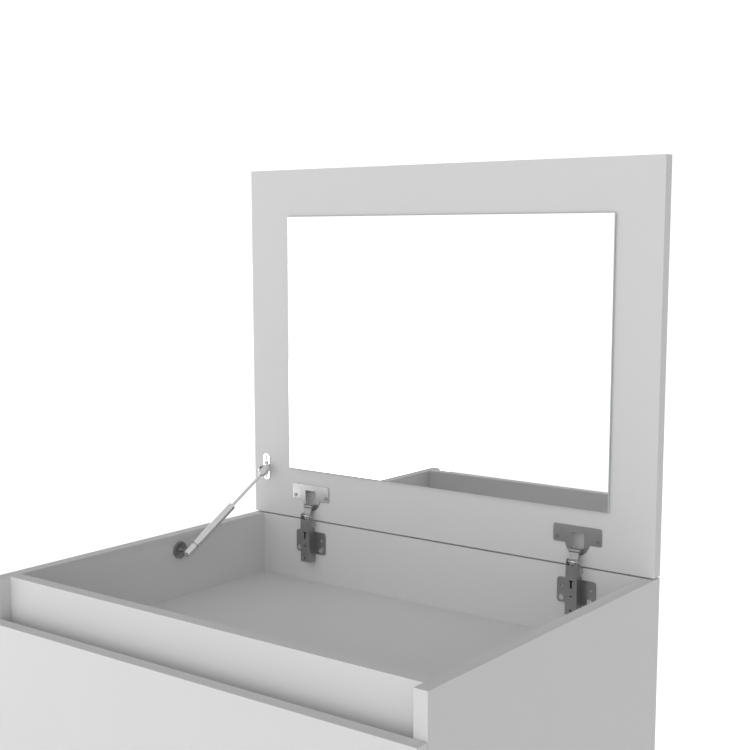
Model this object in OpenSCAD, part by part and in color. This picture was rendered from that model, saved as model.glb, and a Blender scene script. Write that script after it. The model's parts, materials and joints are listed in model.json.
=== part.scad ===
// Vanity table with a lift-up lid that carries a mirror.
// Millimetres, +Z up. The origin is on the floor, below the middle of the table with its lid open.
// X runs left to right as the user sits, +Y runs to the back.

/* [Table] */
// Outer width across the two slab sides
table_w = 600; // [560:10:800]
// Depth of the slab sides, front edge to back edge
case_d = 450; // [440:5:520]
// Height of the top edges of the sides above the floor
table_h = 760; // [700:10:800]
// Thickness of every board of the case, the lid and the drawer front
board_t = 15; // [15:1:16]

/* [Tray] */
// Depth of the tray below the top edges
tray_h = 82.7; // [75:0.1:95]
// Setback of the apron behind the front edges of the sides
apron_set = 15; // [12:1:20]
// Height of the case from its top edge to its underside
case_h = 215; // [205:1:240]

/* [Lid] */
// Length of the lid from its hinged edge
lid_l = 463; // [455:1:465]
// Gap under the lid when it stands open
open_gap = 2; // [1.8:0.1:2.2]
// Gap under the lid when it is closed
closed_gap = 1.5; // [1.5:0.1:1.8]
// Width of the mirror
mirror_w = 477.4; // [400:0.1:478]
// Height of the mirror
mirror_h = 335.4; // [280:0.1:340]
// Thickness of the mirror glass
mirror_t = 3; // [3:0.5:4]

/* [Drawer] */
// Drop from the top edges to the top of the drawer front
front_drop = 45; // [40:1:50]
// Thickness of the drawer's side and back boards
drawer_t = 12; // [10:1:12]
// Length of the drawer box behind its front
drawer_l = 380; // [370:5:400]

/* [Hinges and strut] */
// Place of the left hinge from the middle
hinge_left_x = -199; // [-215:1:-150]
// Place of the right hinge from the middle
hinge_right_x = 203.5; // [150:0.5:215]
// Diameter of the gas strut's barrel
barrel_d = 10; // [9:0.5:11]
// Diameter of the gas strut's rod
rod_d = 3.8; // [3:0.1:5]

/* [Hidden] */
$fn = 48;

// Clearances: between bodies that pass each other, and in a running bore
gap = 0.5;
run = 0.05;
white = "whitesmoke";
steel = "silver";

// Main planes
inner_x = table_w / 2 - board_t;
rear_y = (case_d + gap + board_t) / 2;
front_y = rear_y - case_d;
apron_y = front_y + apron_set;
floor_z = table_h - tray_h;
bottom_z = table_h - case_h;
lid_face_y = rear_y - board_t;
lid_low_z = table_h + open_gap;

// Feet under the slab sides
glide_h = 4;
glide_r = 7;
glide_inset = 30;
glide_pin_r = 2;
glide_pin_l = 9;
glide_ys = [front_y + glide_inset, rear_y - glide_inset];

// Stretcher between the sides, above the floor at the back
stretcher_z = 60;
stretcher_h = 90;

// Dowels, cam bolts and cam locks in the board ends
dowel_r = 4;
dowel_l = 30;
dowel_in = 11;
cam_r = 7.5;
cam_t = 12.5;
cam_set = 24;
cam_cross = [8, 1.2, 2.5];
bolt_r = 3;
bolt_in = 10;

// Pilot holes of the screws in the boards, and the cross in a screw's head
pilot_r = 1.6;
small_pilot_r = 1.5;
pilot_in = 11;
cross_w = 0.7;

// Fastener rows: [y, z] of each hole in a side's inner face, set in from the ends of each board
mid_t = board_t / 2;
row_front = 60;
row_rear = 75;
dowel_pitch = 32;
apron_set_in = [15, 20];
back_set_in = 40;
stretcher_set_in = 20;
row_ys = [front_y + row_front, rear_y - row_rear];
board_rows = [for (z = [floor_z - mid_t, bottom_z + mid_t]) for (y = row_ys) [y, z]];
apron_zs = [floor_z + apron_set_in[0], table_h - apron_set_in[1]];
back_zs = [bottom_z + back_set_in, table_h - back_set_in];
stretcher_zs = [stretcher_z + stretcher_set_in, stretcher_z + stretcher_h - stretcher_set_in];
dowel_rows = concat(
    [for (r = board_rows) [r[0] + dowel_pitch, r[1]]],
    [for (z = apron_zs) [apron_y + mid_t, z]],
    [for (z = back_zs) [rear_y - mid_t, z]],
    [for (z = stretcher_zs) [rear_y - board_t - mid_t, z]]
);

// Drawer and its three-part slides
slide_t = 12.7;
slide_l = 350;
slide_z = table_h - 150;
slide_y = front_y + 12;
sheet_t = 1.2;
drawer_x = inner_x - slide_t;
drawer_z = bottom_z + board_t + 5;
drawer_h = 85;
front_z = bottom_z + 3;
front_h = table_h - front_drop - front_z;
panel_t = 4;
groove = 5;
groove_z = drawer_z + 8;
slide_screw_y = [slide_y + 40, slide_y + slide_l - 60];
slide_lag = 20;
front_screw_zs = [drawer_z + 25, drawer_z + 65];
front_screw_r = 2;
front_screw_in = 10;
front_screw_l = 40;

// Slide members: how far the flanges reach from the web, and the height of the channel
case_channel = [10.5, 35];
middle_channel = [6, 31];
drawer_channel = [6.5, 27];
middle_set = 3.3;

// Hinge geometry in the plane across the hinge line, as [y, z] from the case's rear top edge.
// The lid turns from open to closed as if about centre_p; the link's two pins lie so that
// the pin on the lid passes through its open and its closed place on one arc about the arm's pin.
centre_p = [(open_gap - board_t - closed_gap) / 2, (open_gap + board_t + closed_gap) / 2];
arm_p = [-25, 8];
link_rise = 11;
arm_off = arm_p - centre_p;
link_p = centre_p + [link_rise * (arm_off[1] + arm_off[0]) / (arm_off[1] - arm_off[0]), link_rise];
link_angle = atan2(link_p[1] - arm_p[1], link_p[0] - arm_p[0]);
link_len = norm(link_p - arm_p);
pin_r = 1.5;
eye_r = 2.4;
arm_r = 3.6;
arm_w = 15;
arm_wall = 1.2;
arm_low = -54;
arm_front = -28.8;
arm_back = -16.5;
arm_slot = [2.4, 8.5, -22.5];
arm_slot_head = [5.6, 1.4, -14.6];
link_w = 11.6;
strap_t = 2;
fork_w = 7.6;
fork_r = 3.2;
ear_gap = 0.35;
ears_w = link_w + 2 * (ear_gap + arm_wall);
notch_w = ears_w + 1;
notch_d = 4.5;
notch_h = 7;

// Hinge plate on the lid: a strip with a round rim below it, around a window over the cup
plate_t = 1.1;
plate_w = 63;
plate_z = [27.8, 48.8];
rim_r = 15.4;
rim_z = 29.4;
cup_r = 13.5;
cup_depth = 11;
plate_hole = [26.5, 33];
window_w = 17.8;
window_z = [18.5, 25, 41];
window_foot = 11.6;

// Mounting plate of the hinge on the back panel
wing_w = 50.4;
wing_z = [-44, -14];
wing_t = 1.5;
wing_hole_x = 18.5;
wing_screw_z = -38;
wing_hole_z = -25;
clamp_zs = [-32, -49];
clamp_l = 5;
block_w = 9;
block_d = 7;

// Gas strut: [y, z] of its two pivots from the rear top edge, and its plane
strut_low = [-175.4, -21];
strut_high = [-29, 64];
strut_x = -inner_x + 17;
strut_angle = atan2(strut_high[1] - strut_low[1], strut_high[0] - strut_low[0]);
strut_len = norm(strut_high - strut_low);
barrel_from = 13;
barrel_to = 92;
barrel_wall = 0.8;
socket_r = 5;
piston_at = 76;
piston_l = 7;
stud_r = 2.5;
base_r = 11;
base_t = 2.5;
base_ring_r = 7.5;
base_screw_r = 1.4;
base_angles = [90, 210, 330];
rod_to = 160;
collar_r = 3;
collar_from = 156;
cap_from = 157.5;
rod_pin_r = 2;
pin_back = 2.5;
lug_gap = 0.35;
bracket_x = -inner_x + 7;
bracket_w = 12;
bracket_z = [48, 84];
bracket_t = 1.2;
bracket_screw_z = [56.5, 71];
bracket_screw_r = 1.3;
bracket_slot_w = 1.6;
bracket_slots = [[49.5, 54], [74, 82]];
lug_x = bracket_x + 1;
lug_t = 2;
lug_r = 4.5;

// Mirror on the lid's inner face
mirror_x = 4.6;
mirror_z = table_h + 69.2;
tape_t = 0.6;
tape_w = 25;

// ---- Helpers ----

// Turns a child drawn along +Z so that it runs along +X
module along_x() rotate([0, 90, 0]) children();

// Extrudes a [y, z] outline along X, centred, and stands it at the case's rear top edge
module side_profile(width) {
    translate([-width / 2, rear_y, table_h])
        rotate([90, 0, 90])
            linear_extrude(width) children();
}

// Extrudes an [x, z] outline to the front from the plane y
module face_plate(y, t) translate([0, y, 0]) rotate([90, 0, 0]) linear_extrude(t) children();

// A stadium standing on end, as an outline
module stadium(w, z0, z1) {
    translate([-w / 2, z0 + w / 2]) square([w, z1 - z0 - w]);
    for (z = [z0 + w / 2, z1 - w / 2]) translate([0, z]) circle(w / 2);
}

// A rectangle with round corners, as an outline
module round_rect(w, z0, z1, r) {
    translate([-w / 2 + r, z0]) square([w - 2 * r, z1 - z0]);
    translate([-w / 2, z0 + r]) square([w, z1 - z0 - 2 * r]);
    for (x = [-1, 1]) for (z = [z0 + r, z1 - r]) translate([x * (w / 2 - r), z]) circle(r);
}

// A screw with its head on the plane z = 0 and its shank down
module screw(head_r, head_h, shank_r, length) {
    difference() {
        cylinder(r = head_r, h = head_h);
        for (a = [0, 90]) rotate(a)
            translate([-head_r * 0.6, -cross_w / 2, head_h / 2]) cube([head_r * 1.2, cross_w, head_h]);
    }
    translate([0, 0, -length]) cylinder(r = shank_r, h = length);
}

// ---- Case ----

module side_panel(side) {
    color(white) difference() {
        translate([side > 0 ? inner_x : -inner_x - board_t, front_y, glide_h])
            cube([board_t, case_d, table_h - glide_h]);
        for (r = dowel_rows) side_bore(side, r, dowel_r, dowel_in);
        for (r = board_rows) side_bore(side, r, bolt_r, bolt_in);
        for (y = slide_screw_y) side_bore(side, [y, slide_z], pilot_r, pilot_in);
        for (y = glide_ys)
            translate([side * (inner_x + mid_t), y, glide_h - 1])
                cylinder(r = glide_pin_r, h = glide_pin_l + 2);
        if (side < 0) for (a = base_angles) side_bore(side, base_hole(a), base_screw_r, pilot_in);
    }
}

// Place of a screw of the strut's base, as [y, z], at an angle about the lower pivot
function base_hole(a) = [
    rear_y + strut_low[0] + base_ring_r * cos(a),
    table_h + strut_low[1] + base_ring_r * sin(a)
];

// A blind bore in the inner face of a side at [y, z]
module side_bore(side, p, r, depth) {
    translate([side > 0 ? inner_x - 1 : -inner_x - depth, p[0], p[1]])
        along_x() cylinder(r = r, h = depth + 1);
}

// Bores in both ends of a board that spans the case, at [y, z], along X
module end_bores(rows, r, depth) {
    for (p = rows) for (side = [-1, 1])
        translate([side > 0 ? inner_x - depth : -inner_x - 1, p[0], p[1]])
            along_x() cylinder(r = r, h = depth + 1);
}

// Pockets for the cam locks, from the underside of the board at z
module cam_bores(z) {
    for (p = board_rows) if (abs(p[1] - z - mid_t) < 1) for (side = [-1, 1])
        translate([side * (inner_x - cam_set), p[0], z - 1]) cylinder(r = cam_r, h = cam_t + 1);
}

module cross_board(y, z, d, h) {
    translate([-inner_x, y, z]) cube([2 * inner_x, d, h]);
}

module level_board(z) {
    color(white) difference() {
        cross_board(apron_y, z, rear_y - board_t - apron_y, board_t);
        end_bores(dowel_rows, dowel_r, dowel_l - dowel_in);
        end_bores(board_rows, bolt_r, cam_set);
        cam_bores(z);
    }
}

module tray_floor() level_board(floor_z - board_t);

module case_bottom() level_board(bottom_z);

module apron() {
    color(white) difference() {
        cross_board(apron_y, floor_z, board_t, tray_h);
        end_bores(dowel_rows, dowel_r, dowel_l - dowel_in);
    }
}

module back_panel() {
    color(white) difference() {
        cross_board(rear_y - board_t, bottom_z, board_t, case_h);
        end_bores(dowel_rows, dowel_r, dowel_l - dowel_in);
        for (x = [hinge_left_x, hinge_right_x]) for (s = [-1, 1])
            translate([x + s * wing_hole_x, rear_y - board_t - 1, table_h + wing_screw_z])
                rotate([-90, 0, 0]) cylinder(r = pilot_r, h = pilot_in);
        for (x = [hinge_left_x, hinge_right_x]) translate([x, 0, 0]) link_notch();
    }
}

// Notch in the back panel's top front edge, where the link's upper pin swings past it
module link_notch() {
    translate([-notch_w / 2, lid_face_y - 1, table_h - notch_h])
        cube([notch_w, notch_d + 1, notch_h + 1]);
}

module lower_stretcher() {
    color(white) difference() {
        cross_board(rear_y - 2 * board_t, stretcher_z, board_t, stretcher_h);
        end_bores(dowel_rows, dowel_r, dowel_l - dowel_in);
    }
}

module glides() {
    color("gray") for (side = [-1, 1]) for (y = glide_ys)
        translate([side * (inner_x + mid_t), y, 0]) {
            cylinder(r1 = glide_r - 1, r2 = glide_r, h = 1);
            translate([0, 0, 1]) cylinder(r = glide_r, h = glide_h - 1);
            translate([0, 0, glide_h]) cylinder(r = glide_pin_r, h = glide_pin_l);
        }
}

module dowels() {
    color("burlywood") for (p = dowel_rows) for (side = [-1, 1])
        translate([side > 0 ? inner_x + dowel_in - dowel_l : -inner_x - dowel_in, p[0], p[1]])
            along_x() cylinder(r = dowel_r, h = dowel_l);
}

module cam_bolts() {
    color(steel) for (p = board_rows) for (side = [-1, 1])
        translate([side > 0 ? inner_x - cam_set + cam_r : -inner_x - bolt_in, p[0], p[1]])
            along_x() cylinder(r = bolt_r, h = cam_set - cam_r + bolt_in);
}

module cam_locks() {
    color("darkgray") for (p = board_rows) for (side = [-1, 1])
        translate([side * (inner_x - cam_set), p[0], p[1] - mid_t])
            difference() {
                cylinder(r = cam_r, h = cam_t);
                for (a = [0, 90]) rotate(a)
                    translate([-cam_cross[0] / 2, -cam_cross[1] / 2, -1])
                        cube([cam_cross[0], cam_cross[1], cam_cross[2] + 1]);
            }
}

// ---- Hinges ----

// Mounting plate's outline: two wings with a screw hole and a spare hole each
module wing_outline() {
    difference() {
        round_rect(wing_w, wing_z[0], wing_z[1], 4);
        for (s = [-1, 1]) {
            translate([s * wing_hole_x, wing_screw_z]) circle(2);
            translate([s * wing_hole_x, wing_hole_z]) circle(pilot_r);
        }
    }
}

module hinge_mount(x) {
    color(steel) translate([x, 0, 0]) {
        translate([0, 0, table_h]) face_plate(lid_face_y, wing_t) wing_outline();
        difference() {
            translate([-block_w / 2, lid_face_y - block_d, table_h + arm_low + 1])
                cube([block_w, block_d, wing_z[1] - arm_low - 4]);
            for (z = clamp_zs) translate([0, lid_face_y - block_d - 1, table_h + z])
                rotate([-90, 0, 0]) cylinder(r = pilot_r, h = clamp_l + 1);
        }
    }
}

module hinge_mount_screws() {
    color(steel) for (x = [hinge_left_x, hinge_right_x]) for (s = [-1, 1])
        translate([x + s * wing_hole_x, lid_face_y - wing_t, table_h + wing_screw_z])
            rotate([90, 0, 0]) screw(3.2, 1.6, pilot_r, pilot_in);
}

// Cheek of the arm: a long foot, then a narrow neck that ends round about the pin
module arm_cheek() {
    neck_back = arm_p[0] + arm_r;
    polygon([
        [arm_front, arm_low], [arm_back, arm_low], [arm_back, -11], [neck_back, -7.5],
        [neck_back, arm_p[1]], [arm_p[0] - arm_r, arm_p[1]], [arm_front, arm_p[1] - 4]
    ]);
    translate(arm_p) circle(arm_r);
}

module arm_web() {
    translate([arm_front, arm_low]) square([1, arm_p[1] - 4 - arm_low]);
}

module hinge_arm(x) {
    color(steel) translate([x, 0, 0]) difference() {
        union() {
            for (s = [-1, 1]) translate([s * (arm_w - arm_wall) / 2, 0, 0])
                side_profile(arm_wall) difference() {
                    arm_cheek();
                    translate(arm_p) circle(pin_r);
                }
            side_profile(arm_w) arm_web();
        }
        translate([0, rear_y, table_h]) {
            for (s = [arm_slot, arm_slot_head])
                translate([-s[0] / 2, arm_front - 1, s[2]]) cube([s[0], 3, s[1]]);
            for (z = clamp_zs)
                translate([0, arm_front - 1, z]) rotate([-90, 0, 0]) cylinder(r = small_pilot_r, h = 3);
        }
    }
}

module hinge_clamp_screws() {
    color("dimgray") for (x = [hinge_left_x, hinge_right_x]) for (z = clamp_zs)
        translate([x, lid_face_y - block_d, table_h + z]) rotate([90, 0, 0])
            screw(3, -board_t - block_d - arm_front - 1, pilot_r, clamp_l);
}

// A hinge pin of the given length, centred on the hinge at x and on [y, z]
module pin_at(x, p, length) {
    translate([x - length / 2, rear_y + p[0], table_h + p[1]]) along_x() cylinder(r = pin_r, h = length);
}

module hinge_arm_pins() {
    color("white") for (x = [hinge_left_x, hinge_right_x]) pin_at(x, arm_p, arm_w + 0.8);
}

// Link: two eyes with a strap between them, forked around the arm's pin
module hinge_link(x) {
    color("dimgray") translate([x, 0, 0]) difference() {
        side_profile(link_w) difference() {
            union() {
                translate(arm_p) circle(eye_r);
                translate(link_p) circle(eye_r);
                translate(arm_p) rotate(link_angle)
                    translate([0, -strap_t / 2]) square([link_len, strap_t]);
            }
            translate(arm_p) circle(pin_r + run);
            translate(link_p) circle(pin_r + run);
        }
        side_profile(fork_w) translate(arm_p) circle(fork_r);
    }
}

// Hinge plate's outline: the strip and its round rim, with the window and two screw holes
module plate_outline() {
    difference() {
        union() {
            round_rect(plate_w, plate_z[0], plate_z[1], 2.5);
            translate([0, rim_z]) circle(rim_r);
        }
        polygon([
            [-window_foot / 2, window_z[0]], [window_foot / 2, window_z[0]],
            [window_w / 2, window_z[1]], [window_w / 2, window_z[2]],
            [-window_w / 2, window_z[2]], [-window_w / 2, window_z[1]]
        ]);
        for (s = [-1, 1]) translate([s * plate_hole[0], plate_hole[1]]) circle(pilot_r);
    }
}

// Ear of the hinge plate that holds the link's upper pin
module plate_ear() {
    difference() {
        union() {
            translate(link_p) circle(eye_r);
            translate([link_p[0], link_p[1] - eye_r])
                square([-board_t - plate_t / 2 - link_p[0], 2 * eye_r]);
        }
        translate(link_p) circle(pin_r);
    }
}

module hinge_plate(x) {
    color(steel) translate([x, 0, 0]) {
        translate([0, 0, table_h]) face_plate(lid_face_y, plate_t) plate_outline();
        for (s = [-1, 1]) translate([s * (ears_w - arm_wall) / 2, 0, 0])
            side_profile(arm_wall) plate_ear();
    }
}

module hinge_plate_pins() {
    color("white") for (x = [hinge_left_x, hinge_right_x]) pin_at(x, link_p, ears_w);
}

module hinge_plate_screws() {
    color(steel) for (x = [hinge_left_x, hinge_right_x]) for (s = [-1, 1])
        translate([x + s * plate_hole[0], lid_face_y - plate_t, table_h + plate_hole[1]])
            rotate([90, 0, 0]) screw(2.4, 0.8, small_pilot_r, pilot_in);
}

// ---- Lid and mirror ----

module lid_panel() {
    color(white) difference() {
        translate([-table_w / 2, lid_face_y, lid_low_z]) cube([table_w, board_t, lid_l]);
        for (x = [hinge_left_x, hinge_right_x]) {
            lid_bore(x, rim_z, cup_r, cup_depth);
            for (s = [-1, 1])
                lid_bore(x + s * plate_hole[0], plate_hole[1], small_pilot_r, pilot_in);
        }
        for (z = bracket_screw_z) lid_bore(bracket_x, z, bracket_screw_r, pilot_in - 1);
    }
}

// A blind bore in the lid's inner face, z above the case's top edge
module lid_bore(x, z, r, depth) {
    translate([x, lid_face_y - 1, table_h + z]) rotate([-90, 0, 0]) cylinder(r = r, h = depth + 1);
}

module mirror() {
    color("lightcyan") translate([mirror_x - mirror_w / 2, lid_face_y - tape_t - mirror_t, mirror_z])
        cube([mirror_w, mirror_t, mirror_h]);
}

module mirror_tape() {
    color("gray") for (k = [-1, 0, 1])
        translate([mirror_x + k * mirror_w / 3 - tape_w / 2, lid_face_y - tape_t, mirror_z + 20])
            cube([tape_w, tape_t, mirror_h - 40]);
}

// ---- Gas strut ----

// Places a child drawn along +Z from the lower pivot along the strut
module on_strut() {
    translate([strut_x, rear_y + strut_low[0], table_h + strut_low[1]])
        rotate([strut_angle - 90, 0, 0]) children();
}

module strut_base() {
    color("dimgray") translate([-inner_x, rear_y + strut_low[0], table_h + strut_low[1]]) {
        difference() {
            along_x() cylinder(r = base_r, h = base_t);
            for (a = base_angles)
                translate([-1, base_ring_r * cos(a), base_ring_r * sin(a)])
                    along_x() cylinder(r = base_screw_r, h = base_t + 2);
        }
        along_x() cylinder(r = 4, h = base_t + 2);
        along_x() cylinder(r = stud_r, h = strut_x + inner_x + 2);
    }
}

module strut_base_screws() {
    color(steel) for (a = base_angles)
        translate([-inner_x + base_t, base_hole(a)[0], base_hole(a)[1]])
            along_x() screw(2.2, 0.9, base_screw_r, pilot_in + 1);
}

module strut_barrel() {
    color(steel) on_strut() difference() {
        translate([0, 0, barrel_from]) cylinder(d = barrel_d, h = barrel_to - barrel_from);
        translate([0, 0, barrel_from + 2]) cylinder(r = barrel_d / 2 - barrel_wall, h = barrel_to);
    }
}

// A turned rod socket along +Z around the pivot, as a half outline [r, z] swept about its axis
module socket(outline) {
    difference() {
        rotate_extrude() polygon(outline);
        children();
    }
}

module strut_barrel_end() {
    neck_r = 3.6;
    color(steel) on_strut() socket([
        [0, -6], [socket_r - 1, -6], [socket_r, -5], [socket_r, 11.5],
        [neck_r, 11.5], [neck_r, barrel_from], [0, barrel_from]
    ])
        rotate([0, -90, 0]) translate([0, 0, -pin_back])
            cylinder(r = stud_r + run, h = socket_r + 4);
}

module strut_seal() {
    color("black") on_strut() difference() {
        translate([0, 0, barrel_to - 6]) cylinder(r = barrel_d / 2 - barrel_wall, h = 6);
        cylinder(r = rod_d / 2 + run, h = strut_len);
    }
}

module strut_rod() {
    color("white") on_strut() translate([0, 0, piston_at]) cylinder(d = rod_d, h = rod_to - piston_at);
}

module strut_piston() {
    color("black") on_strut() difference() {
        translate([0, 0, piston_at]) cylinder(r = barrel_d / 2 - barrel_wall - run, h = piston_l);
        cylinder(d = rod_d, h = strut_len);
    }
}

module strut_rod_end() {
    far = strut_len + 6;
    color(steel) on_strut() socket([
        [0, collar_from], [collar_r, collar_from], [collar_r, cap_from], [socket_r, cap_from],
        [socket_r, far - 1], [socket_r - 1, far], [0, far]
    ]) {
        cylinder(d = rod_d, h = rod_to);
        translate([0, 0, strut_len]) rotate([0, -90, 0]) translate([0, 0, -pin_back])
            cylinder(r = rod_pin_r, h = socket_r + 4);
    }
}

// Pin from the rod's end towards the bracket's lug; the real one is held in the lug
module strut_rod_pin() {
    tip = strut_x - lug_x - lug_t / 2 - lug_gap;
    color("white") on_strut() translate([0, 0, strut_len]) rotate([0, -90, 0])
        translate([0, 0, -pin_back]) cylinder(r = rod_pin_r, h = pin_back + tip);
}

module strut_bracket() {
    color(steel) difference() {
        union() {
            translate([bracket_x, 0, table_h]) face_plate(lid_face_y, bracket_t)
                stadium(bracket_w, bracket_z[0], bracket_z[1]);
            translate([lug_x, 0, 0]) side_profile(lug_t) {
                translate(strut_high) circle(lug_r);
                translate([strut_high[0], strut_high[1] - lug_r])
                    square([-board_t - bracket_t / 2 - strut_high[0], 2 * lug_r]);
            }
        }
        translate([bracket_x, 0, table_h]) face_plate(lid_face_y + 1, bracket_t + 2) {
            for (span = bracket_slots) stadium(bracket_slot_w, span[0], span[1]);
            for (z = bracket_screw_z) translate([0, z]) circle(bracket_screw_r);
        }
    }
}

module strut_bracket_screws() {
    color(steel) for (z = bracket_screw_z)
        translate([bracket_x, lid_face_y - bracket_t, table_h + z])
            rotate([90, 0, 0]) screw(2.4, 1, bracket_screw_r, pilot_in);
}

// ---- Drawer ----

module drawer_front() {
    color(white) difference() {
        translate([-table_w / 2, front_y - gap - board_t, front_z]) cube([table_w, board_t, front_h]);
        translate([-drawer_x + drawer_t - groove, front_y - gap - groove, groove_z])
            cube([2 * (drawer_x - drawer_t + groove), groove + 1, panel_t]);
        front_screws();
    }
}

// Screws through the drawer's sides into its front, and the holes that they fill
module front_screws() {
    for (side = [-1, 1]) for (z = front_screw_zs)
        translate([side * (drawer_x - drawer_t / 2), front_y - gap - front_screw_in, z])
            rotate([-90, 0, 0]) cylinder(r = front_screw_r, h = front_screw_l);
}

module drawer_side(side) {
    color(white) difference() {
        translate([side > 0 ? drawer_x - drawer_t : -drawer_x, front_y - gap, drawer_z])
            cube([drawer_t, drawer_l, drawer_h]);
        translate([side * (drawer_x - drawer_t) - groove, front_y - gap - 1, groove_z])
            cube([2 * groove, drawer_l - drawer_t + groove + 1, panel_t]);
        front_screws();
        for (y = slide_screw_y)
            translate([side > 0 ? drawer_x - 9 : -drawer_x - 1, y + slide_lag, slide_z])
                along_x() cylinder(r = small_pilot_r, h = 10);
    }
}

module drawer_back() {
    color(white) difference() {
        translate([-drawer_x + drawer_t, front_y - gap + drawer_l - drawer_t, drawer_z])
            cube([2 * (drawer_x - drawer_t), drawer_t, drawer_h]);
        translate([-drawer_x, front_y - gap + drawer_l - drawer_t - 1, groove_z])
            cube([2 * drawer_x, groove + 1, panel_t]);
    }
}

module drawer_bottom() {
    color(white) translate([-drawer_x + drawer_t - groove, front_y - gap - groove, groove_z])
        cube([2 * (drawer_x - drawer_t + groove), drawer_l - drawer_t + 2 * groove, panel_t]);
}

module drawer_front_screws() {
    color(steel) front_screws();
}

// A slide member: a channel whose web stands at x and whose flanges reach towards the drawer or the case
module channel(side, x, reach, h) {
    web = reach > 0 ? x : x - sheet_t;
    for (z = [-h / 2, h / 2 - sheet_t])
        slide_bar(side, min(x, x + reach), abs(reach), z, sheet_t);
    slide_bar(side, web, sheet_t, -h / 2, h);
}

module slide_bar(side, x, w, z, h) {
    translate([side > 0 ? x : -x - w, slide_y, slide_z + z]) cube([w, slide_l, h]);
}

module slide_case(side) {
    color(steel) difference() {
        channel(side, inner_x, -case_channel[0], case_channel[1]);
        for (y = slide_screw_y) translate([side * inner_x - 5, y, slide_z])
            along_x() cylinder(r = pilot_r, h = 10);
    }
}

module slide_middle(side) {
    color(steel) channel(side, inner_x - middle_set, -middle_channel[0], middle_channel[1]);
}

module slide_drawer(side) {
    color(steel) difference() {
        channel(side, drawer_x, drawer_channel[0], drawer_channel[1]);
        for (y = slide_screw_y) translate([side * drawer_x - 5, y + slide_lag, slide_z])
            along_x() cylinder(r = small_pilot_r, h = 10);
    }
}

module slide_screws() {
    color(steel) for (side = [-1, 1]) for (y = slide_screw_y)
        translate([side * (inner_x - sheet_t), y, slide_z])
            rotate([0, -side * 90, 0]) screw(3, 1.3, pilot_r, 10);
}

module slide_drawer_screws() {
    color(steel) for (side = [-1, 1]) for (y = slide_screw_y)
        translate([side * (drawer_x + sheet_t), y + slide_lag, slide_z])
            rotate([0, side * 90, 0]) screw(3, 1.3, small_pilot_r, 9);
}

side_panel(-1);  // side_panel_left
side_panel(1);  // side_panel_right
back_panel();
apron();
tray_floor();
case_bottom();
lower_stretcher();
glides();
dowels();
cam_bolts();
cam_locks();
hinge_mount(hinge_left_x);  // hinge_mount_left
hinge_mount(hinge_right_x);  // hinge_mount_right
hinge_mount_screws();
hinge_arm(hinge_left_x);  // hinge_arm_left
hinge_arm(hinge_right_x);  // hinge_arm_right
hinge_clamp_screws();
hinge_arm_pins();
hinge_link(hinge_left_x);  // hinge_link_left
hinge_link(hinge_right_x);  // hinge_link_right
hinge_plate(hinge_left_x);  // hinge_plate_left
hinge_plate(hinge_right_x);  // hinge_plate_right
hinge_plate_pins();
hinge_plate_screws();
lid_panel();
mirror();
mirror_tape();
strut_bracket();
strut_bracket_screws();
strut_base();
strut_base_screws();
strut_barrel();
strut_barrel_end();
strut_seal();
strut_rod();
strut_piston();
strut_rod_end();
strut_rod_pin();
drawer_front();
drawer_side(-1);  // drawer_side_left
drawer_side(1);  // drawer_side_right
drawer_back();
drawer_bottom();
drawer_front_screws();
slide_case(-1);  // slide_case_left
slide_case(1);  // slide_case_right
slide_middle(-1);  // slide_middle_left
slide_middle(1);  // slide_middle_right
slide_drawer(-1);  // slide_drawer_left
slide_drawer(1);  // slide_drawer_right
slide_screws();
slide_drawer_screws();
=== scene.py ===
"""Vanity table with a lift-up lid that carries a mirror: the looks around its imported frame."""
import json

import bmesh
import bpy
import numpy as np
from mathutils import Euler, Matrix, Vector


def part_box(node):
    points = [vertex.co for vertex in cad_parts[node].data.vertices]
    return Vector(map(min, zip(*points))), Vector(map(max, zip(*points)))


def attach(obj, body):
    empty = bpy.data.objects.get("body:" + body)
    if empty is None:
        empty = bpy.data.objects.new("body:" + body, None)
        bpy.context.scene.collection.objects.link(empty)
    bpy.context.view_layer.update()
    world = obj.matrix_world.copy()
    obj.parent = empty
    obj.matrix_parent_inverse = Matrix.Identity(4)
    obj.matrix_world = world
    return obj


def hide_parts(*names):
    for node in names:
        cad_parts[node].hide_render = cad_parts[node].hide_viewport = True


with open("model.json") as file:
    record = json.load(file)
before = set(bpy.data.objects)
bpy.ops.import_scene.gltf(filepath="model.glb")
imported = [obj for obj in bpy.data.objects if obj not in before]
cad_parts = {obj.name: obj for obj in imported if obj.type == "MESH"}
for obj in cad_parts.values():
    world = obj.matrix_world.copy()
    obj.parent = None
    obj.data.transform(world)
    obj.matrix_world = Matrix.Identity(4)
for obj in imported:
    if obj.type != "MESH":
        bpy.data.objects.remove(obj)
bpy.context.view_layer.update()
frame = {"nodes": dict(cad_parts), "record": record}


# ---- Camera ----
# A studio camera stands to the right of the sitter and a little above the open mirror,
# with its sensor shifted so that it looks down on the tray while upright edges stay nearly parallel.
FOCAL_MM = 61.03
SENSOR_MM = 36.0
STAND = Vector((0.89075, -1.05601, 1.1373))
TILT_DOWN = 7.81
TURN_LEFT = 37.04
SHIFT = (-0.01687, 0.0491)

lens = bpy.data.cameras.new("studio_camera")
lens.lens = FOCAL_MM
lens.sensor_width = SENSOR_MM
lens.shift_x, lens.shift_y = SHIFT
lens.clip_start = 0.01
camera = bpy.data.objects.new("studio_camera", lens)
camera.location = STAND
camera.rotation_euler = Euler((np.radians(90 - TILT_DOWN), 0, np.radians(TURN_LEFT)))
bpy.context.scene.collection.objects.link(camera)
bpy.context.scene.camera = camera


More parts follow.
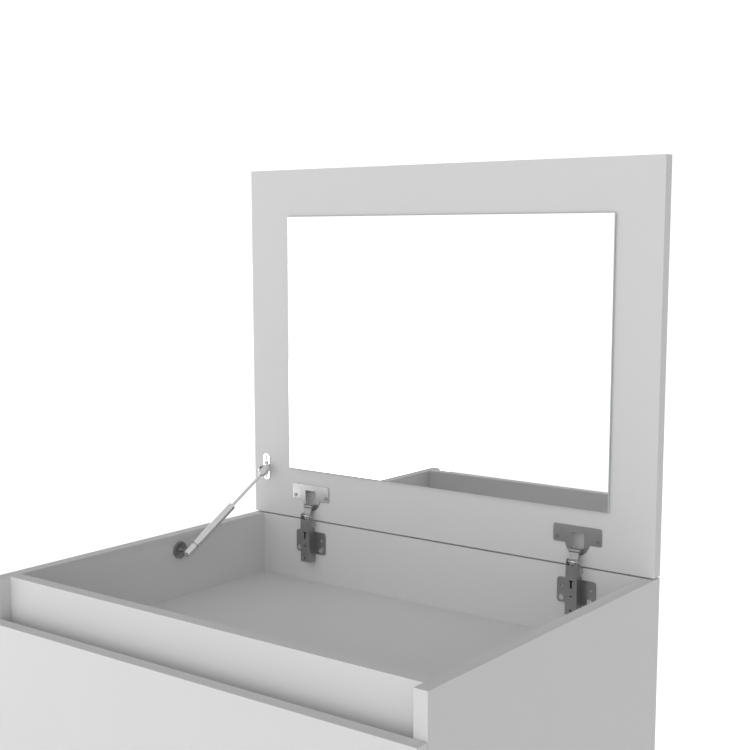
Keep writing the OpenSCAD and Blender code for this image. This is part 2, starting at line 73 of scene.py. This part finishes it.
# ---- Boards of the case ----
# The slab sides, cross boards and stretcher are 15 mm particle board in white melamine film.
# Every cut edge has a film band of the same white, and a scraper takes its corner off by a third of a
# millimetre, so each board is a copy of its node with softened corners.
ARRIS = 0.0003
FILM_WHITE = (0.70, 0.70, 0.698, 1)
FILM_SHADE = (0.675, 0.675, 0.673, 1)
CLOUD_SHARE = 0.65
GRAIN_SHARE = 0.35
CLOUD_DETAIL = 4
GRAIN_DETAIL = 3
RELIEF_DEPTH = 0.0001
WELD_WITHIN = 2e-6
FLAT_WITHIN = np.radians(1)
CORNER_ABOVE = np.radians(50)
SMOOTH_BELOW = np.radians(35)

nodes = frame["nodes"]
bodies = frame["record"]["behaviour"]["bodies"]
body_of = {node: body for body, members in bodies.items() for node in members}


def node_group(name, inputs, outputs):
    """A shader node group with named (name, socket type, default) inputs and (name, type) outputs."""
    tree = bpy.data.node_groups.new(name, "ShaderNodeTree")
    for label, kind, default in inputs:
        tree.interface.new_socket(label, in_out="INPUT", socket_type=kind).default_value = default
    for label, kind in outputs:
        tree.interface.new_socket(label, in_out="OUTPUT", socket_type=kind)
    return tree, tree.nodes.new("NodeGroupInput"), tree.nodes.new("NodeGroupOutput")


def noise_node(tree, coords, scale, detail, stretch=(1, 1, 1)):
    """Noise on object coordinates in metres: scale counts its cells in a metre."""
    place = tree.nodes.new("ShaderNodeMapping")
    place.inputs["Scale"].default_value = stretch
    noise = tree.nodes.new("ShaderNodeTexNoise")
    noise.inputs["Scale"].default_value = scale
    noise.inputs["Detail"].default_value = detail
    tree.links.new(coords, place.inputs["Vector"])
    tree.links.new(place.outputs["Vector"], noise.inputs["Vector"])
    return noise.outputs["Fac"]


def between(tree, value, low, high):
    """Turns a 0..1 value into one from low to high; low and high are numbers or sockets."""
    span = tree.nodes.new("ShaderNodeMapRange")
    tree.links.new(value, span.inputs["Value"])
    for label, bound in (("To Min", low), ("To Max", high)):
        if isinstance(bound, (int, float)):
            span.inputs[label].default_value = bound
        else:
            tree.links.new(bound, span.inputs[label])
    return span.outputs["Result"]


def mix_colours(tree, factor, first, second):
    """Mixes two colour sockets or values by a factor socket."""
    mix = tree.nodes.new("ShaderNodeMix")
    mix.data_type = "RGBA"
    tree.links.new(factor, mix.inputs["Factor"])
    for socket, colour in ((mix.inputs[6], first), (mix.inputs[7], second)):
        if isinstance(colour, bpy.types.NodeSocket):
            tree.links.new(colour, socket)
        else:
            socket.default_value = colour
    return mix.outputs[2]


def build_surface_group(name, grain_scale, grain_stretch, cloud_scale):
    """One surface effect: broad clouds mix two colours, and fine grain drives gloss and height."""
    tree, given, result = node_group(
        name,
        [("Light", "NodeSocketColor", (1, 1, 1, 1)), ("Dark", "NodeSocketColor", (0, 0, 0, 1)),
         ("Gloss Low", "NodeSocketFloat", 0.4), ("Gloss High", "NodeSocketFloat", 0.5)],
        [("Colour", "NodeSocketColor"), ("Roughness", "NodeSocketFloat"), ("Height", "NodeSocketFloat")])
    coords = tree.nodes.new("ShaderNodeTexCoord").outputs["Object"]
    cloud = noise_node(tree, coords, cloud_scale, CLOUD_DETAIL)
    grain = noise_node(tree, coords, grain_scale, GRAIN_DETAIL, grain_stretch)
    both = tree.nodes.new("ShaderNodeMath")
    both.operation = "MULTIPLY_ADD"
    both.inputs[1].default_value = GRAIN_SHARE
    tree.links.new(grain, both.inputs[0])
    tree.links.new(between(tree, cloud, 0.0, CLOUD_SHARE), both.inputs[2])
    share = both.outputs["Value"]
    colour = mix_colours(tree, share, given.outputs["Light"], given.outputs["Dark"])
    tree.links.new(colour, result.inputs["Colour"])
    gloss = between(tree, share, given.outputs["Gloss Low"], given.outputs["Gloss High"])
    tree.links.new(gloss, result.inputs["Roughness"])
    tree.links.new(grain, result.inputs["Height"])
    return tree


def surface_material(name, group, light, dark, gloss, metallic=0.0, bump=0.1, sheen=0.5, coat=0.0):
    """A Principled finish that takes colour, gloss and height from a surface group."""
    made = bpy.data.materials.new(name)
    made.use_nodes = True
    tree = made.node_tree
    shader = tree.nodes["Principled BSDF"]
    effect = tree.nodes.new("ShaderNodeGroup")
    effect.node_tree = group
    effect.inputs["Light"].default_value = light
    effect.inputs["Dark"].default_value = dark
    effect.inputs["Gloss Low"].default_value = gloss[0]
    effect.inputs["Gloss High"].default_value = gloss[1]
    relief = tree.nodes.new("ShaderNodeBump")
    relief.inputs["Strength"].default_value = bump
    relief.inputs["Distance"].default_value = RELIEF_DEPTH
    tree.links.new(effect.outputs["Height"], relief.inputs["Height"])
    tree.links.new(effect.outputs["Colour"], shader.inputs["Base Color"])
    tree.links.new(effect.outputs["Roughness"], shader.inputs["Roughness"])
    tree.links.new(relief.outputs["Normal"], shader.inputs["Normal"])
    shader.inputs["Metallic"].default_value = metallic
    shader.inputs["Specular IOR Level"].default_value = sheen
    shader.inputs["Coat Weight"].default_value = coat
    made.diffuse_color = light
    return made


def dress(node, material):
    """Gives a frame node, or a new piece, one material."""
    piece = nodes[node] if isinstance(node, str) else node
    piece.data.materials.clear()
    piece.data.materials.append(material)


def softened(node, radius, material, steps=2):
    """A copy of a node's mesh, welded, its flat facets joined, with round corners of the given radius."""
    mesh = nodes[node].data.copy()
    shape = bmesh.new()
    shape.from_mesh(mesh)
    bmesh.ops.remove_doubles(shape, verts=shape.verts, dist=WELD_WITHIN)
    bmesh.ops.dissolve_limit(shape, angle_limit=FLAT_WITHIN, verts=shape.verts, edges=shape.edges)
    shape.to_mesh(mesh)
    shape.free()
    piece = bpy.data.objects.new(node + "_made", mesh)
    bpy.context.scene.collection.objects.link(piece)
    mesh.materials.clear()
    mesh.materials.append(material)
    rounding = piece.modifiers.new("arris", "BEVEL")
    rounding.width = radius
    rounding.segments = steps
    rounding.limit_method = "ANGLE"
    rounding.angle_limit = CORNER_ABOVE
    rounding.use_clamp_overlap = False
    rounding.harden_normals = True
    mesh.shade_smooth()
    mesh.set_sharp_from_angle(angle=SMOOTH_BELOW)
    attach(piece, body_of[node])
    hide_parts(node)
    return piece


film_group = build_surface_group("melamine_film", 2600, (1, 1, 1), 9)
film = surface_material("white_melamine", film_group, FILM_WHITE, FILM_SHADE, (0.5, 0.6),
                        bump=0.06, sheen=0.2)
for board in ("side_panel_left", "side_panel_right", "back_panel", "apron", "tray_floor",
              "case_bottom", "lower_stretcher"):
    softened(board, ARRIS, film)


# ---- Glides, dowels and cam fittings ----
# Four grey plastic glides are pressed into the undersides of the sides. Plain beech dowels line the
# boards up, and zinc cam locks pull on steel bolts to close the joints.
plastic_group = build_surface_group("moulded_plastic", 1500, (1, 1, 1), 60)
glide_plastic = surface_material("grey_plastic", plastic_group, (0.33, 0.33, 0.32, 1),
                                 (0.27, 0.27, 0.26, 1), (0.45, 0.6), bump=0.15)
wood_group = build_surface_group("beech_grain", 700, (0.08, 1, 1), 90)
beech = surface_material("beech", wood_group, (0.62, 0.43, 0.25, 1), (0.45, 0.28, 0.14, 1),
                         (0.6, 0.75), bump=0.3)
zinc_group = build_surface_group("cast_zinc", 900, (1, 1, 1), 150)
zinc = surface_material("cast_zinc", zinc_group, (0.62, 0.62, 0.61, 1), (0.42, 0.42, 0.42, 1),
                        (0.35, 0.55), metallic=1.0, bump=0.2)
bright_group = build_surface_group("bright_plating", 1800, (1, 1, 1), 120)
bright = surface_material("bright_steel", bright_group, (0.80, 0.80, 0.81, 1), (0.66, 0.66, 0.67, 1),
                          (0.14, 0.26), metallic=1.0, bump=0.05)
MOULDED_CORNER = 0.0004
softened("glides", MOULDED_CORNER, glide_plastic)
dress("dowels", beech)
dress("cam_bolts", bright)
softened("cam_locks", MOULDED_CORNER, zinc)


# ---- Drawer slides ----
# Each side has a three-part slide of rolled zinc-plated steel: a channel screwed to the side panel,
# a middle channel, and a member screwed to the drawer.
rolled_group = build_surface_group("rolled_steel", 1400, (1, 0.03, 1), 40)
rolled = surface_material("zinc_plated_steel", rolled_group, (0.64, 0.65, 0.66, 1), (0.48, 0.49, 0.50, 1),
                          (0.24, 0.42), metallic=1.0, bump=0.12)
SHEET_CORNER = 0.00025
for member in ("case", "middle", "drawer"):
    for side in ("left", "right"):
        softened(f"slide_{member}_{side}", SHEET_CORNER, rolled)
for fasteners in ("slide_screws", "slide_drawer_screws", "drawer_front_screws"):
    dress(fasteners, bright)


# ---- Drawer ----
# The front is a board like the case's. The box behind it has 12 mm sides and back in the same white
# film, with a thin white bottom in grooves.
for board in ("drawer_front", "drawer_side_left", "drawer_side_right", "drawer_back"):
    softened(board, ARRIS, film)
softened("drawer_bottom", ARRIS / 2, film)


# ---- Cup hinges ----
# Nickel-plated pressings: a winged plate on the back panel, an arm clamped on it, a link on two
# bright pins, and a plate with a round rim screwed over the pocket in the lid.
plated_group = build_surface_group("nickel_plate", 1600, (0.25, 1, 1), 110)
plated = surface_material("nickel_plated_steel", plated_group, (0.43, 0.43, 0.435, 1), (0.30, 0.30, 0.305, 1),
                          (0.26, 0.4), metallic=1.0, bump=0.1)
dark_steel = surface_material("dark_steel", plated_group, (0.36, 0.36, 0.365, 1), (0.24, 0.24, 0.245, 1),
                              (0.3, 0.45), metallic=1.0, bump=0.1)
PRESSED_CORNER = 0.0002
for side in ("left", "right"):
    for part in ("mount", "arm", "link", "plate"):
        softened(f"hinge_{part}_{side}", PRESSED_CORNER, plated)
for bright_part in ("hinge_mount_screws", "hinge_arm_pins"):
    dress(bright_part, bright)
for dark_part in ("hinge_plate_screws", "hinge_clamp_screws"):
    dress(dark_part, dark_steel)
dress("hinge_plate_pins", plated)


# ---- Lid and mirror ----
# The lid is one more film-faced board. The mirror is 3 mm float glass, silvered and painted on its
# back, with a ground edge, and strips of foam tape hold it on the lid.
softened("lid_panel", ARRIS, film)
GROUND_EDGE = 0.0006

foam_group = build_surface_group("foam_tape", 3500, (1, 1, 1), 200)
foam = surface_material("foam_tape", foam_group, (0.72, 0.72, 0.70, 1), (0.58, 0.58, 0.56, 1),
                        (0.75, 0.9), bump=0.4)
dress("mirror_tape", foam)


def sheet_with_edge(name, low, high, edge):
    """A flat sheet facing -Y: rings of four corners, set in by the edge at the front and at the back."""
    insets = np.array([edge, 0.0, 0.0, edge])
    depths = np.array([low[1], low[1] + edge, high[1] - edge, high[1]])
    around = np.array([(0, 0), (1, 0), (1, 1), (0, 1)])
    span = np.array([high[0] - low[0], high[2] - low[2]])
    flat = np.array([low[0], low[2]]) + around[None] * span
    rings = flat + (1 - 2 * around[None]) * insets[:, None, None]
    verts = np.stack([rings[..., 0], np.broadcast_to(depths[:, None], rings.shape[:2]), rings[..., 1]], -1)
    row, step = np.meshgrid(np.arange(3), np.arange(4), indexing="ij")
    here, beside = 4 * row + step, 4 * row + (step + 1) % 4
    walls = np.stack([here, here + 4, beside + 4, beside], -1).reshape(-1, 4)
    faces = [(0, 1, 2, 3), (15, 14, 13, 12)] + walls[:, ::-1].tolist()
    mesh = bpy.data.meshes.new(name)
    mesh.from_pydata(verts.reshape(-1, 3).tolist(), [], [list(face) for face in faces])
    mesh.validate()
    piece = bpy.data.objects.new(name, mesh)
    bpy.context.scene.collection.objects.link(piece)
    return piece


silver_group = build_surface_group("silvering", 300, (1, 1, 1), 3)
silver = surface_material("silvered_glass", silver_group, (0.985, 0.988, 0.986, 1), (0.975, 0.98, 0.978, 1),
                          (0.0, 0.006), metallic=1.0, bump=0.0)
edge_group = build_surface_group("ground_glass", 2500, (1, 1, 1), 30)
ground = surface_material("ground_glass_edge", edge_group, (0.54, 0.57, 0.565, 1), (0.44, 0.48, 0.47, 1),
                          (0.22, 0.4), bump=0.2, coat=0.4)
low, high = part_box("mirror")
glass = sheet_with_edge("mirror_glass", low, high, GROUND_EDGE)
for finish in (silver, ground):
    glass.data.materials.append(finish)
sides = np.ones(len(glass.data.polygons), np.int32)
sides[0] = 0
glass.data.polygons.foreach_set("material_index", sides)
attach(glass, "lid")
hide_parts("mirror")


# ---- Gas strut ----
# A round base on the left side carries a stud. The barrel has a socket on that stud, and its bright
# rod ends in a socket whose pin sits at the lug of the slotted bracket on the lid.
rubber_group = build_surface_group("seal_rubber", 2200, (1, 1, 1), 80)
rubber = surface_material("black_rubber", rubber_group, (0.02, 0.02, 0.02, 1), (0.035, 0.035, 0.035, 1),
                          (0.6, 0.8), bump=0.3)
satin_steel = surface_material("satin_steel", plated_group, (0.78, 0.78, 0.785, 1), (0.62, 0.62, 0.625, 1),
                               (0.2, 0.3), metallic=1.0, bump=0.1)
for node in ("strut_barrel_end", "strut_rod_end"):
    softened(node, PRESSED_CORNER, satin_steel)
softened("strut_barrel", PRESSED_CORNER, satin_steel)
softened("strut_bracket", PRESSED_CORNER, bright)
BASE_CORNER = 0.0004
softened("strut_base", BASE_CORNER, dark_steel)
for node in ("strut_base_screws", "strut_bracket_screws"):
    dress(node, dark_steel)
for node in ("strut_rod", "strut_rod_pin"):
    dress(node, bright)
for node in ("strut_seal", "strut_piston"):
    dress(node, rubber)


# ---- Studio ----
# A pale paper floor that looks as white as the surround. What lights the table comes mostly from the
# front, with a low softbox there too, so that upright faces towards the sitter are the brightest.
# Reflections see a surround that dims overhead, and one shining card that only they can see.
FLOOR_HALF = 40.0
SURROUND_SEEN = 1.1
LIGHT_ALL_ROUND = 0.30
LIGHT_FROM_FRONT = 1.02
LIGHT_LOST_ABOVE = 0.12
FLOOR_LIFT = 0.72
FLOOR_BOUNCE = 0.35
REFLECTED_ABOVE = 0.75
DIMMING_FROM = 0.15
DIMMED_AT = 0.7
SOFTBOX_SIZE = (2.2, 0.7)
SOFTBOX_WATTS = 7
SOFTBOX_PLACE = Vector((-0.3, -3.2, 0.35))
SOFTBOX_AIM = Vector((0, 0, 0.9))
CARD_SIZE = 0.7
CARD_GLOW = 2.6
CARD_PLACE = Vector((-1.15, -0.90, 0.49))
CARD_AIM = Vector((-0.2, 0.22, 0.79))

floor_mesh = bpy.data.meshes.new("studio_floor")
floor_corners = [(x * FLOOR_HALF, y * FLOOR_HALF, 0) for x, y in ((-1, -1), (1, -1), (1, 1), (-1, 1))]
floor_mesh.from_pydata(floor_corners, [], [(0, 1, 2, 3)])
floor = bpy.data.objects.new("studio_floor", floor_mesh)
bpy.context.scene.collection.objects.link(floor)
paper_group = build_surface_group("backdrop_paper", 300, (1, 1, 1), 2)
paper = surface_material("backdrop_paper", paper_group, (0.93, 0.93, 0.93, 1), (0.92, 0.92, 0.92, 1),
                         (0.9, 0.95))
tree = paper.node_tree
sheet = tree.nodes["Principled BSDF"]
sheet.inputs["Emission Color"].default_value = (1, 1, 1, 1)
rays = tree.nodes.new("ShaderNodeLightPath")
lift = between(tree, rays.outputs["Is Diffuse Ray"], FLOOR_LIFT, FLOOR_BOUNCE)
tree.links.new(lift, sheet.inputs["Emission Strength"])
dress(floor, paper)

world = bpy.data.worlds.new("studio_surround")
bpy.context.scene.world = world
world.use_nodes = True
tree = world.node_tree
seen = tree.nodes["Background"]
seen.inputs["Color"].default_value = (1, 1, 1, 1)
rays = tree.nodes.new("ShaderNodeLightPath")
lighting = tree.nodes.new("ShaderNodeBackground")
lighting.inputs["Color"].default_value = (1, 1, 1, 1)
direction = tree.nodes.new("ShaderNodeTexCoord")
axes = tree.nodes.new("ShaderNodeSeparateXYZ")
tree.links.new(direction.outputs["Generated"], axes.inputs["Vector"])
ahead = tree.nodes.new("ShaderNodeMapRange")
ahead.inputs["From Min"].default_value = 0.0
ahead.inputs["From Max"].default_value = -1.0
ahead.inputs["To Min"].default_value = LIGHT_ALL_ROUND
ahead.inputs["To Max"].default_value = LIGHT_ALL_ROUND + LIGHT_FROM_FRONT
tree.links.new(axes.outputs["Y"], ahead.inputs["Value"])
above = tree.nodes.new("ShaderNodeMapRange")
above.inputs["To Max"].default_value = LIGHT_LOST_ABOVE
tree.links.new(axes.outputs["Z"], above.inputs["Value"])
level = tree.nodes.new("ShaderNodeMath")
level.operation = "SUBTRACT"
tree.links.new(ahead.outputs["Result"], level.inputs[0])
tree.links.new(above.outputs["Result"], level.inputs[1])
tree.links.new(level.outputs["Value"], lighting.inputs["Strength"])
overhead = tree.nodes.new("ShaderNodeMapRange")
overhead.inputs["From Min"].default_value = DIMMING_FROM
overhead.inputs["From Max"].default_value = DIMMED_AT
overhead.inputs["To Min"].default_value = SURROUND_SEEN
overhead.inputs["To Max"].default_value = REFLECTED_ABOVE
tree.links.new(axes.outputs["Z"], overhead.inputs["Value"])
plain_or_reflected = tree.nodes.new("ShaderNodeMix")
plain_or_reflected.inputs["A"].default_value = SURROUND_SEEN
tree.links.new(rays.outputs["Is Glossy Ray"], plain_or_reflected.inputs["Factor"])
tree.links.new(overhead.outputs["Result"], plain_or_reflected.inputs["B"])
tree.links.new(plain_or_reflected.outputs["Result"], seen.inputs["Strength"])
choose = tree.nodes.new("ShaderNodeMixShader")
tree.links.new(rays.outputs["Is Diffuse Ray"], choose.inputs["Fac"])
tree.links.new(seen.outputs["Background"], choose.inputs[1])
tree.links.new(lighting.outputs["Background"], choose.inputs[2])
tree.links.new(choose.outputs["Shader"], tree.nodes["World Output"].inputs["Surface"])

low_light = bpy.data.lights.new("low_softbox", "AREA")
low_light.shape = "RECTANGLE"
low_light.size, low_light.size_y = SOFTBOX_SIZE
low_light.energy = SOFTBOX_WATTS
low_lamp = bpy.data.objects.new("low_softbox", low_light)
low_lamp.location = SOFTBOX_PLACE
low_lamp.rotation_euler = (SOFTBOX_AIM - SOFTBOX_PLACE).to_track_quat("-Z", "Y").to_euler()
bpy.context.scene.collection.objects.link(low_lamp)


def glow_card(name, place, target, size, strength):
    """A square white card that shines, seen only in reflections, and faces its target."""
    half = size / 2
    mesh = bpy.data.meshes.new(name)
    corners = [(x * half, y * half, 0) for x, y in ((-1, -1), (-1, 1), (1, 1), (1, -1))]
    mesh.from_pydata(corners, [], [(0, 1, 2, 3)])
    card = bpy.data.objects.new(name, mesh)
    card.location = place
    card.rotation_euler = (target - place).to_track_quat("-Z", "Y").to_euler()
    bpy.context.scene.collection.objects.link(card)
    card.visible_camera = False
    card.visible_diffuse = False
    card.visible_shadow = False
    glow = bpy.data.materials.new(name)
    glow.use_nodes = True
    shader = glow.node_tree.nodes["Principled BSDF"]
    shader.inputs["Emission Color"].default_value = (1, 1, 1, 1)
    shader.inputs["Emission Strength"].default_value = strength
    dress(card, glow)


glow_card("left_card", CARD_PLACE, CARD_AIM, CARD_SIZE, CARD_GLOW)
bpy.context.scene.view_settings.view_transform = "Standard"
